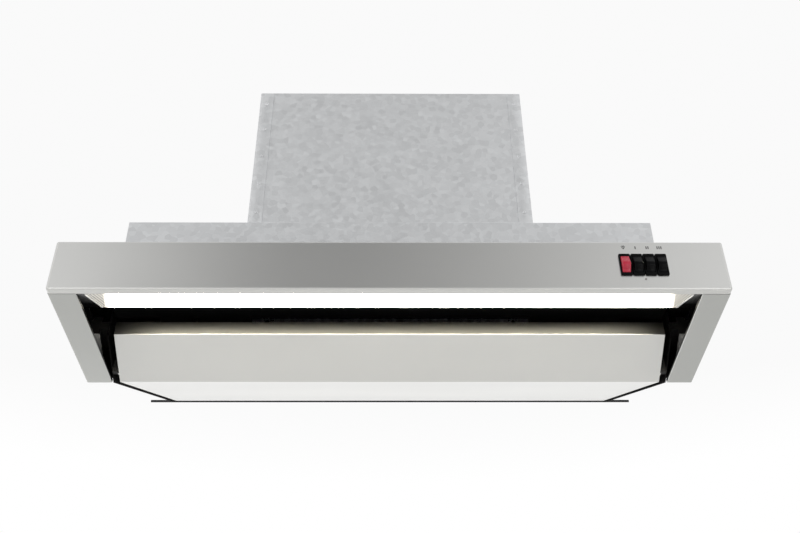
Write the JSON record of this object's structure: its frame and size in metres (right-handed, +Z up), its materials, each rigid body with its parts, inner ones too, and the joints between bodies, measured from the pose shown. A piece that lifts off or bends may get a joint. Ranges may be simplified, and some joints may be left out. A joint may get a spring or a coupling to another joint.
{
  "type": "pull-out range hood",
  "caption": "Built-in range hood with a pull-out lamp and switch frame, a hinged V-shaped underplate, a grease filter, a fan box and a duct collar on top.",
  "frame": {"origin": "centre of the four cabinet screws, on the upper face of the housing's shoulders", "axes": "+X to the right, +Y from the fascia back to the wall, +Z up"},
  "size_m": [0.6, 0.4163, 0.4108],
  "materials": {
    "brushed_stainless": "brushed along the length",
    "black_sheet": "semi-matt black paint",
    "galvanised_sheet": "galvanised, with a fine spangle",
    "zinc_steel": "zinc plated",
    "spring_steel": "bright rolled",
    "bright_steel": "bright",
    "motor_iron": "laminated, varnished",
    "cast_aluminium": "as cast",
    "filter_aluminium": "expanded mesh in a rolled frame",
    "white_enamel": "gloss white",
    "diffuser_acrylic": "prismatic, lit from behind",
    "lamp_glass": "coated white inside",
    "white_plastic": "moulded",
    "dark_plastic": "moulded, fine grain",
    "grey_plastic": "low-friction nylon",
    "black_switch_plastic": "satin",
    "red_switch_plastic": "translucent red",
    "pilot_lens": "clear lens, unlit",
    "fan_plastic": "moulded",
    "box_plastic": "moulded",
    "soft_rubber": "soft"
  },
  "bodies": {
    "housing": {"side_panel_left": "black_sheet", "side_panel_right": "black_sheet", "front_panel": "black_sheet", "front_seal": "soft_rubber", "back_panel": "black_sheet", "rear_trim": "soft_rubber", "top_panel": "black_sheet", "motor_box": "galvanised_sheet", "duct_collar": "fan_plastic", "collar_screws": "bright_steel", "damper_pin": "bright_steel", "fan_scroll_left": "fan_plastic", "fan_scroll_right": "fan_plastic", "motor_end_shield_front": "cast_aluminium", "motor_end_shield_rear": "cast_aluminium", "motor_stator": "motor_iron", "motor_bearings": "bright_steel", "motor_grommets": "soft_rubber", "motor_capacitor": "white_plastic", "terminal_box": "box_plastic", "terminal_cover": "box_plastic", "cable_gland": "box_plastic", "lamp_ballast": "zinc_steel", "lamp_starter": "white_plastic", "filter_hinge_brackets": "zinc_steel", "filter_spring_clips": "spring_steel", "hinge_brackets": "zinc_steel", "hinge_pins": "bright_steel", "panel_catches": "dark_plastic", "slide_guides": "grey_plastic", "microswitch": "black_switch_plastic"},
    "pullout": {"fascia": "brushed_stainless", "arm_left": "brushed_stainless", "arm_right": "brushed_stainless", "fascia_brackets": "zinc_steel", "fascia_screws": "bright_steel", "ceiling_plate": "black_sheet", "slide_rail_left": "black_sheet", "slide_rail_right": "black_sheet", "lamp_tray": "white_enamel", "lamp_tube": "lamp_glass", "lampholders": "white_plastic", "lamp_diffuser": "diffuser_acrylic", "lamp_end_caps": "dark_plastic", "switch_bodies": "black_switch_plastic", "pilot_lamp": "pilot_lens"},
    "light_rocker": {"rocker_light": "red_switch_plastic"},
    "low_rocker": {"rocker_low": "black_switch_plastic"},
    "medium_rocker": {"rocker_medium": "black_switch_plastic"},
    "high_rocker": {"rocker_high": "black_switch_plastic"},
    "underplate": {"underplate": "brushed_stainless", "panel_studs": "bright_steel"},
    "grease_filter": {"grease_filter_frame": "filter_aluminium", "grease_filter_mesh": "filter_aluminium"},
    "fan": {"impeller": "fan_plastic", "motor_shaft": "bright_steel", "motor_rotor": "motor_iron"},
    "front_flap": {"damper_flap_front": "fan_plastic"},
    "rear_flap": {"damper_flap_rear": "fan_plastic"},
    "plunger": {"microswitch_plunger": "red_switch_plastic"}
  },
  "joints": [
    {"name": "pull_out_slide", "type": "slide", "parent": "housing", "child": "pullout", "axis": [0, 1, 0], "range_m": [0, 0.044]},
    {"name": "light_switch", "type": "hinge", "parent": "pullout", "child": "light_rocker", "pos_m": [0.209, -0.2575, -0.1387], "axis": [-1, 0, 0], "range_deg": [0, 12]},
    {"name": "low_switch", "type": "hinge", "parent": "pullout", "child": "low_rocker", "pos_m": [0.2198, -0.2575, -0.1387], "axis": [-1, 0, 0], "range_deg": [0, 12]},
    {"name": "medium_switch", "type": "hinge", "parent": "pullout", "child": "medium_rocker", "pos_m": [0.2306, -0.2575, -0.1387], "axis": [-1, 0, 0], "range_deg": [0, 12]},
    {"name": "high_switch", "type": "hinge", "parent": "pullout", "child": "high_rocker", "pos_m": [0.2414, -0.2575, -0.1387], "axis": [-1, 0, 0], "range_deg": [0, 12]},
    {"name": "underplate_swing", "type": "hinge", "parent": "housing", "child": "underplate", "pos_m": [0, 0.133, -0.036], "axis": [1, 0, 0], "range_deg": [0, 70]},
    {"name": "filter_swing", "type": "hinge", "parent": "housing", "child": "grease_filter", "pos_m": [0, 0.129, -0.0145], "axis": [1, 0, 0], "range_deg": [0, 20]},
    {"name": "fan_spin", "type": "hinge", "parent": "housing", "child": "fan", "pos_m": [0, -0.052, 0.105], "axis": [1, 0, 0], "continuous": true},
    {"name": "front_flap_swing", "type": "hinge", "parent": "housing", "child": "front_flap", "pos_m": [0, 0.006, 0.2159], "axis": [-1, 0, 0], "range_deg": [0, 75]},
    {"name": "rear_flap_swing", "type": "hinge", "parent": "housing", "child": "rear_flap", "pos_m": [0, 0.006, 0.2159], "axis": [1, 0, 0], "range_deg": [0, 75]},
    {"name": "microswitch_press", "type": "slide", "parent": "housing", "child": "plunger", "axis": [0, 1, 0], "range_m": [0, 0.0012], "stiffness_N_per_m": 300}
  ]
}
